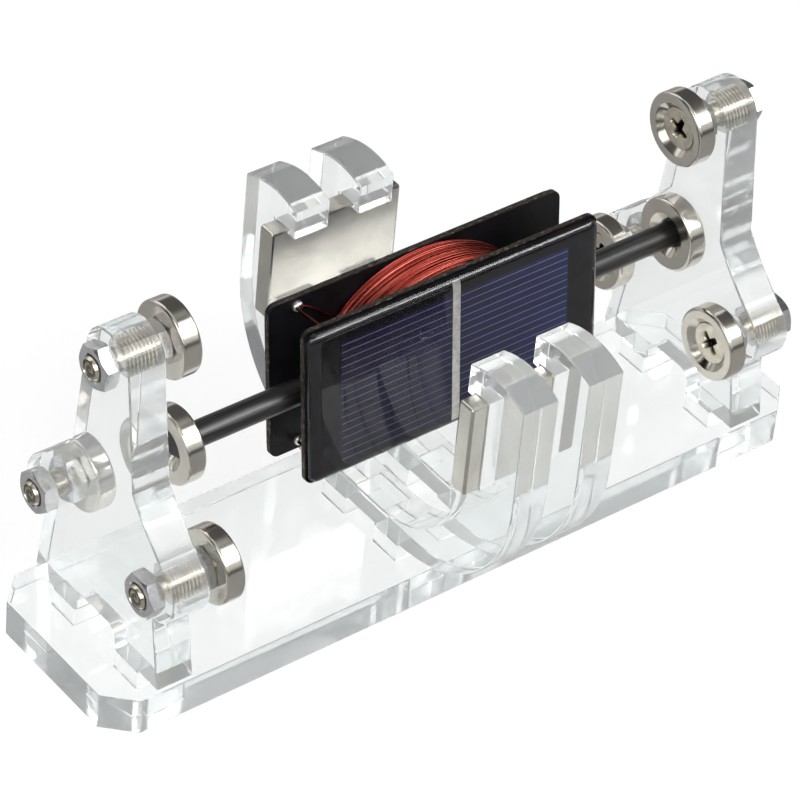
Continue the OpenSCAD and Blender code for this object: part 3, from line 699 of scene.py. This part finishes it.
def build_fasteners():
    """Three screws with an inner and an outer nut each on either upright."""
    for end, side in ((LEFT, "left"), (RIGHT, "right")):
        flip = Matrix.Diagonal((end, 1, 1, 1))
        groups = {"screws": [], "inner_nuts": [], "outer_nuts": []}
        for (y, z), turn in zip(ARMS, SCREW_TURNS[side]):
            for group, mesh, x in (("screws", screw_mesh(turn), HEAD_X),
                                   ("inner_nuts", nut_mesh(turn + 0.3), INNER_X - NUT_T),
                                   ("outer_nuts", nut_mesh(turn), INNER_X + SHEET_T)):
                mesh.transform(flip @ moved(x, y, z))
                groups[group].append(mesh)
        for group, meshes in groups.items():
            plating = screw_zinc if group == "screws" else nut_zinc
            piece(f"zinc_{side}_{group}", joined(group, meshes), Matrix.Identity(4), "stand",
                  plating, [f"{side}_{group}"], sharp=28)


# ---------- rotor ----------


def build_shaft():
    """Shaft with a chamfered blunt end, a pointed tip and rounded shoulders."""
    start, end = -ROTOR_RING_X - RING_T + END_DEPTH, INNER_X - TIP_GAP - ROTOR_X
    r = SHAFT_D / 2
    profile = np.array([(0, start), (r - 0.4, start), (r, start + 0.4), (r, end - TIP_L - 0.1),
                        (r - 0.05, end - TIP_L + 0.1), (TIP_D / 2, end - 0.05),
                        (TIP_D / 2 - 0.1, end), (0, end)])
    piece("dark_shaft", spun("shaft", profile, 64), ON_ROTOR, "rotor", dark_rod(),
          ["shaft"])


def panel_place(side, out):
    """Where a sheet drawn in (x, z) lies on one panel, out from the rotor's middle plane."""
    return ON_ROTOR @ moved(y=side * out) @ IN_XZ


def cover_mesh():
    """Resin pillow: rounded rectangles that shrink by p (1 - cos a) as they rise by q sin a."""
    l, h = PANEL_L - 2 * COVER_MARGIN, PANEL_H - 2 * COVER_MARGIN
    p, q = COVER_ROUND_IN, COVER_ROUND_OUT
    rows = [(0.0, -0.08), (0.0, 0.0), (0.0, COVER_T - q)]
    rows += [(p * (1 - math.cos(b)), COVER_T - q + q * math.sin(b))
             for b in np.radians(np.arange(9, 91, 9))]
    rows += [(p + 0.1, COVER_T)]
    rings = []
    for inset, out in rows:
        ring = rounded_rect(l - 2 * inset, h - 2 * inset, max(PANEL_CORNER - inset * 0.6, 0.8), 8)
        rings.append(np.column_stack([ring, np.full(len(ring), out)]))
    middle = [np.column_stack([rings[i][:, :2] * 0.0, rings[i][:, 2]]) for i in (0, -1)]
    return grid_mesh("cover", np.stack([middle[0], *rings, middle[1]]) * MM)


def build_panels():
    """Two panels, each a board, a cell, a ribbon and the resin over them."""
    board, cell, clear = circuit_board(), solar_cell(), resin()
    for side, word in ((FRONT, "front"), (BACK, "back")):
        middle = BOARD_IN + BOARD_T / 2
        outline = rounded_rect(PANEL_L, PANEL_H, PANEL_CORNER)
        piece(f"{word}_panel_board", flat_piece("board", [outline], BOARD_T, BOARD_ROUND),
              panel_place(side, middle), "rotor", board, [f"{word}_board"])
        face = BOARD_IN + BOARD_T
        outline = rounded_rect(CELL_L, CELL_H, 0.3, 3)
        piece(f"{word}_panel_cell", flat_piece("cell", [outline], CELL_T, 0.05),
              panel_place(side, face + CELL_T / 2), "rotor", cell, [f"{word}_cell"])
        outline = rounded_rect(RIBBON_W, RIBBON_L, 0.2, 3)
        piece(f"{word}_panel_ribbon", flat_piece("ribbon", [outline], RIBBON_T, 0.05),
              panel_place(side, face + CELL_T + RIBBON_T / 2), "rotor", tin,
              [f"{word}_ribbon"])
        flip = Matrix.Diagonal((1, 1, -side, 1))
        piece(f"{word}_panel_resin", cover_mesh(), panel_place(side, face) @ flip, "rotor",
              clear, [f"{word}_cover"], casts=False)


def blob_mesh(l, w, t, seed):
    """A solder blob: half of an ellipsoid on a flat foot, with a lumpy surface."""
    rng = np.random.default_rng(seed)
    u = np.linspace(0, math.pi / 2, 14)[:, None]
    v = np.linspace(0, TURN, 40, endpoint=False)[None]
    lumps = 1 + 0.04 * np.sin(3 * v + rng.uniform(0, 6)) * np.sin(2 * u)
    across = np.cos(u) ** 0.6
    grid = np.stack([l / 2 * across * np.cos(v) * lumps, w / 2 * across * np.sin(v) * lumps,
                     t * np.sin(u) + 0 * v], -1)
    foot = np.stack([0 * v, 0 * v, 0 * v], -1)
    return grid_mesh("blob", np.concatenate([foot, grid]) * MM)


def build_solder():
    """Two solder joints on each board's inner face."""
    for side, word in ((FRONT, "front"), (BACK, "back")):
        blobs = []
        for level in (-1, 1):
            mesh = blob_mesh(SOLDER_L, SOLDER_W, SOLDER_T, 3 + level)
            spot = moved(-SOLDER_X, side * BOARD_IN, level * SOLDER_Z)
            mesh.transform(ON_ROTOR @ spot @ IN_XZ @ Matrix.Diagonal((1, 1, side, 1)))
            blobs.append(mesh)
        piece(f"{word}_solder_joints", joined("solder", blobs), Matrix.Identity(4), "rotor",
              tin, [f"{word}_solder"], sharp=60)


COIL_LAYERS, LAYER_TURNS, POINTS_PER_TURN = 18, 12, 54
STRAND_D, STRAND_PITCH, STRAND_SIDES, STRAND_STRAY, STRAND_SLACK = 0.42, 0.50, 5, 0.12, 0.16
COIL_START, COIL_END = 250.0, 145.0
PART_HEIGHT = 7.0
OUT_Y, SHAFT_GAP_Y = 4.2, 3.0
LEAD_STEPS, LEAD_OUT, LEAD_IN = 24, 2.5, 1.5
LINK_STEPS, LINK_SIDES = 25, 16


def coil_line():
    """Wire whose layers spiral in and out by turns: the angle runs on steadily, the inset is a
    triangle wave of the turns with some slack, and the layer climbs in the half turn where the
    spiral reverses. The layers fill the coil's width above and below the shaft, part around the
    shaft, and stray a little sideways."""
    turns = COIL_LAYERS * LAYER_TURNS - (COIL_START - COIL_END) / 360
    t = np.linspace(0, turns, int(turns * POINTS_PER_TURN))
    u = np.mod(t, 2 * LAYER_TURNS)
    inset = STRAND_PITCH * np.minimum(u, 2 * LAYER_TURNS - u) + STRAND_D / 2
    k = np.round(t / LAYER_TURNS)
    s = np.clip(2 * (t - k * LAYER_TURNS) + 0.5, 0, 1)
    layer = np.clip(k - 1 + s * s * (3 - 2 * s), 0, COIL_LAYERS - 1)
    rng = np.random.default_rng(7)
    knots = np.arange(0, turns + 2)
    stray = np.interp(t, knots, rng.normal(0, 1, len(knots)))
    slack = np.interp(t + 0.4, knots, rng.normal(0, 1, len(knots)))
    v = 2 * layer / (COIL_LAYERS - 1) - 1
    a = np.radians(COIL_START + 360 * t)
    inset = inset + STRAND_SLACK * np.abs(slack)
    z = (COIL_H / 2 - inset) * np.sin(a)
    parting = np.exp(-((z / PART_HEIGHT) ** 4))
    apart = SHAFT_GAP_Y * np.tanh(8 * v) + (OUT_Y - SHAFT_GAP_Y) * v
    y = OUT_Y * v * (1 - parting) + apart * parting + STRAND_STRAY * stray
    return np.column_stack([(COIL_L / 2 - inset) * np.cos(a), y, z])


def lead(joint, coil_end, heading):
    """Cubic curve from a solder joint, along +x at first, almost straight into the coil."""
    u = np.linspace(0, 1, LEAD_STEPS, endpoint=False)[:, None]
    p, q = joint, joint + np.array([LEAD_OUT, 0, 0])
    r, s = coil_end + LEAD_IN * heading, coil_end
    return (1 - u) ** 3 * p + 3 * u * (1 - u) ** 2 * q + 3 * u**2 * (1 - u) * r + u**3 * s


def build_coil():
    """The coil with its two leads as one wire, which carries its length for the enamel's shades."""
    line = coil_line()
    out = np.array([-SOLDER_X + 0.3, BOARD_IN - 0.5, SOLDER_Z])
    back, ahead = line[0] - line[1], line[-1] - line[-2]
    first = lead(out * [1, -1, -1], line[0], back / np.linalg.norm(back))
    last = lead(out, line[-1], ahead / np.linalg.norm(ahead))
    whole = np.vstack([first, line, last[::-1]])
    mesh = closed_tube("coil", whole, STRAND_D / 2, STRAND_SIDES)
    steps = np.linalg.norm(np.diff(whole, axis=0), axis=1)
    along = np.concatenate([[0], np.cumsum(steps)]) * MM * 25
    carry(mesh, "along", np.repeat(np.concatenate([along[:1], along, along[-1:]]), STRAND_SIDES))
    wire = copper("red_copper_wire",
                  ((0.11, 0.014, 0.012), (0.29, 0.044, 0.034), (0.54, 0.17, 0.125)))
    piece("copper_coil", mesh, ON_ROTOR, "rotor", wire, ["coil"], sharp=None)


def build_links():
    """The two wires that link the boards, from solder joint to solder joint."""
    half = BOARD_IN - SOLDER_T * 0.7
    y = np.linspace(-half, half, LINK_STEPS)
    links = []
    for level in (-1, 1):
        points = np.column_stack([np.full(LINK_STEPS, -SOLDER_X - SOLDER_L / 4), y,
                                  np.full(LINK_STEPS, level * SOLDER_Z)])
        rings = tube_grid(points[:, [1, 0, 2]], LINK_D / 2, LINK_SIDES)[:, :, [1, 0, 2]]
        ends = [np.repeat(points[i][None, None], LINK_SIDES, 1) for i in (0, -1)]
        links.append(grid_mesh("link", np.concatenate([ends[0], rings, ends[1]]) * MM))
    dark_wire = copper("dark_copper_wire",
                       ((0.03, 0.010, 0.008), (0.05, 0.014, 0.010), (0.09, 0.03, 0.02)))
    piece("copper_links", joined("links", links), ON_ROTOR, "rotor", dark_wire,
          ["link_wires"])


# ---------- floor, light and camera ----------

CAMERA_TURN, CAMERA_RISE, CAMERA_ROLL = 41.25, 39.4, 5.74
CAMERA_DISTANCE = 886.0
CAMERA_TARGET = (21.43, 29.4, -0.15)
CAMERA_LENS = 202.2
FLOOR_HALF_M, FLOOR_Z_M = 3.0, -0.0002

# For each kind of ray: the floor's own glow, and the share of it against the lit floor's
FLOOR_SEEN = (("Is Camera Ray", 1.08, 0.66), ("Is Glossy Ray", 0.35, 0.9),
              ("Is Transmission Ray", 0.60, 0.66))

# The world's strength for diffuse rays
EVEN_LIGHT = 0.62

# Name, place (mm), size (m) and power (W)
LAMPS = (("key_light", (260, -420, 520), 0.45, 2.2), ("fill_light", (-480, -260, 380), 0.5, 1.1),
         ("back_light", (-100, 460, 420), 0.5, 0.9))
LAMP_AIM = (0, 0, 30)


def add_maths(nodes, links, what, a, b, clamp=False):
    """One arithmetic step in the floor's or the world's nodes."""
    node = nodes.new("ShaderNodeMath")
    node.operation, node.use_clamp = what, clamp
    for socket, value in zip(node.inputs, (a, b)):
        if isinstance(value, (int, float)):
            socket.default_value = value
        else:
            links.new(value, socket)
    return node.outputs[0]


def build_floor():
    """A pale floor that keeps the motor's soft shadow, with its own glow by the kind of ray."""
    size, z = FLOOR_HALF_M, FLOOR_Z_M
    corners = [[[-size, -size, z], [size, -size, z]], [[-size, size, z], [size, size, z]]]
    mesh = grid_mesh("floor", np.array(corners), wrap_cols=False)
    mesh.flip_normals()
    floor = bpy.data.objects.new("floor", mesh)
    bpy.context.scene.collection.objects.link(floor)
    material = bpy.data.materials.new("white_floor")
    material.use_nodes = True
    nodes, links = material.node_tree.nodes, material.node_tree.links
    nodes.clear()
    diffuse, glow = nodes.new("ShaderNodeBsdfDiffuse"), nodes.new("ShaderNodeEmission")
    both, output = nodes.new("ShaderNodeMixShader"), nodes.new("ShaderNodeOutputMaterial")
    seen = nodes.new("ShaderNodeLightPath")
    diffuse.inputs["Color"].default_value = (0.93, 0.93, 0.93, 1)
    strength, share = 0.0, 0.0
    for ray, level, part in FLOOR_SEEN:
        strength = add_maths(nodes, links, "ADD", strength,
                             add_maths(nodes, links, "MULTIPLY", seen.outputs[ray], level))
        share = add_maths(nodes, links, "ADD", share,
                          add_maths(nodes, links, "MULTIPLY", seen.outputs[ray], part))
    links.new(strength, glow.inputs["Strength"])
    links.new(share, both.inputs["Fac"])
    links.new(diffuse.outputs[0], both.inputs[1])
    links.new(glow.outputs[0], both.inputs[2])
    links.new(both.outputs[0], output.inputs["Surface"])
    mesh.materials.append(material)


def build_world():
    """Even light for diffuse surfaces; a dark studio with bright screens for metal, drawn by the
    direction's y (-1 is the front) and z (1 is overhead), and the same but pale for what is seen
    through glass; white where the camera looks straight at it."""
    world = bpy.data.worlds.new("studio")
    bpy.context.scene.world = world
    world.use_nodes = True
    nodes, links = world.node_tree.nodes, world.node_tree.links
    nodes.clear()
    coords, split = nodes.new("ShaderNodeTexCoord"), nodes.new("ShaderNodeSeparateXYZ")
    links.new(coords.outputs["Generated"], split.inputs[0])

    def maths(what, a, b=0.0, clamp=False):
        return add_maths(nodes, links, what, a, b, clamp)

    def between(value, low, high, soft):
        rising = maths("DIVIDE", maths("SUBTRACT", value, low), soft, True)
        falling = maths("DIVIDE", maths("SUBTRACT", high, value), soft, True)
        return maths("MULTIPLY", rising, falling)

    y, z = split.outputs["Y"], split.outputs["Z"]
    front_screen = maths("MULTIPLY", between(y, -1.2, 0.10, 0.15), between(z, 0.12, 0.80, 0.08))
    top_screen = maths("MULTIPLY", between(z, 0.86, 1.2, 0.04), 0.9)
    back_screen = maths("MULTIPLY", between(y, 0.55, 1.3, 0.1), between(z, -0.05, 0.22, 0.05))
    screens = maths("MAXIMUM", maths("MAXIMUM", front_screen, top_screen),
                    maths("MULTIPLY", back_screen, 0.9))
    strip = maths("MULTIPLY", between(y, -0.95, -0.30, 0.1), between(z, 0.49, 0.64, 0.03))
    bright = maths("ADD", maths("MULTIPLY", screens, 0.8), maths("MULTIPLY", strip, 9.0))
    studio = maths("ADD", bright, 0.13)
    clear = maths("ADD", maths("MULTIPLY", screens, 0.18), 0.84)
    seen = nodes.new("ShaderNodeLightPath").outputs
    level = EVEN_LIGHT
    for ray, shown in (("Is Camera Ray", 1.0), ("Is Glossy Ray", studio),
                       ("Is Transmission Ray", clear)):
        change = maths("SUBTRACT", shown, EVEN_LIGHT)
        level = maths("ADD", level, maths("MULTIPLY", seen[ray], change))
    background, output = nodes.new("ShaderNodeBackground"), nodes.new("ShaderNodeOutputWorld")
    links.new(level, background.inputs["Strength"])
    links.new(background.outputs[0], output.inputs["Surface"])


def build_lamps():
    """Square soft lamps, all pointed at the motor."""
    for name, place, size, power in LAMPS:
        data = bpy.data.lights.new(name, "AREA")
        data.energy, data.size = power, size
        obj = bpy.data.objects.new(name, data)
        bpy.context.scene.collection.objects.link(obj)
        obj.location = Vector(place) * MM
        away = Vector(place) - Vector(LAMP_AIM)
        obj.rotation_euler = away.to_track_quat("Z", "Y").to_euler()


def build_camera():
    """The photograph's viewpoint: a turn and a rise about the target, then a roll."""
    t, e, roll = (math.radians(angle) for angle in (CAMERA_TURN, CAMERA_RISE, CAMERA_ROLL))
    back = Vector((-math.sin(t) * math.cos(e), -math.cos(t) * math.cos(e), math.sin(e)))
    level_right = Vector((math.cos(t), -math.sin(t), 0))
    level_up = Vector((math.sin(t) * math.sin(e), math.cos(t) * math.sin(e), math.cos(e)))
    right = level_right * math.cos(roll) + level_up * math.sin(roll)
    up = level_up * math.cos(roll) - level_right * math.sin(roll)
    data = bpy.data.cameras.new("camera")
    data.lens, data.sensor_width = CAMERA_LENS, 36.0
    data.clip_start, data.clip_end = 0.05, 20.0
    camera = bpy.data.objects.new("camera", data)
    bpy.context.scene.collection.objects.link(camera)
    turn = Matrix((right, up, back)).transposed().to_4x4()
    place = (Vector(CAMERA_TARGET) + back * CAMERA_DISTANCE) * MM
    camera.matrix_world = Matrix.Translation(place) @ turn
    bpy.context.scene.camera = camera


build_stand()
build_magnets()
build_fasteners()
build_shaft()
build_panels()
build_solder()
build_coil()
build_links()
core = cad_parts["coil_core"]
core.data.materials.clear()
core.data.materials.append(core_plastic())
build_floor()
build_world()
build_lamps()
build_camera()
bpy.context.scene.view_settings.view_transform = "Standard"
